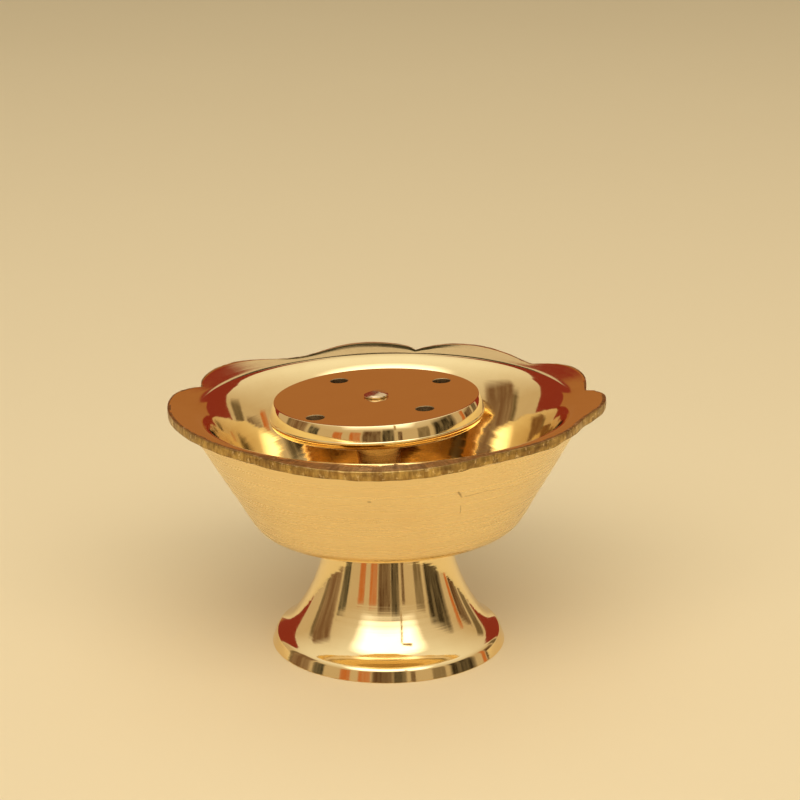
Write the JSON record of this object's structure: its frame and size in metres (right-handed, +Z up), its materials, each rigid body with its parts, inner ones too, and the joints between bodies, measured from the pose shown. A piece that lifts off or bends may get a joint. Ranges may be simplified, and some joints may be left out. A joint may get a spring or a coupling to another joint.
{
  "type": "incense stick holder",
  "caption": "Small brass incense stick holder: a lobed bowl on a flared foot, with a thick drilled plate raised above the bowl's floor.",
  "frame": {"origin": "centre of the foot's ground ring, on the surface that it stands on", "axes": "+Z up; +Y away from the widest front lobe; the rod and the plate lean 2.4 degrees towards -X"},
  "size_m": [0.0735, 0.0762, 0.0441],
  "materials": {
    "foot_brass": "mirror polished on the lathe, fine turning rings",
    "bowl_brass": "mirror polished inside, satin with turning marks outside, filed rim edge",
    "stem_brass": "turned and polished",
    "plate_brass": "mirror polished, faint turning rings",
    "rod_brass": "drawn rod, hammered and buffed head",
    "plated_steel": "zinc plated"
  },
  "bodies": {
    "stand": {"foot": "foot_brass", "bowl": "bowl_brass", "stem": "stem_brass", "centre_rod": "rod_brass", "washer": "plated_steel", "hex_nut": "plated_steel"},
    "plate": {"stick_plate": "plate_brass"}
  },
  "joints": [
    {"name": "plate_swivel", "type": "hinge", "parent": "stand", "child": "plate", "pos_m": [-0.00172, 0, 0.04116], "axis": [-0.0419, 0, 0.9991], "continuous": true}
  ]
}
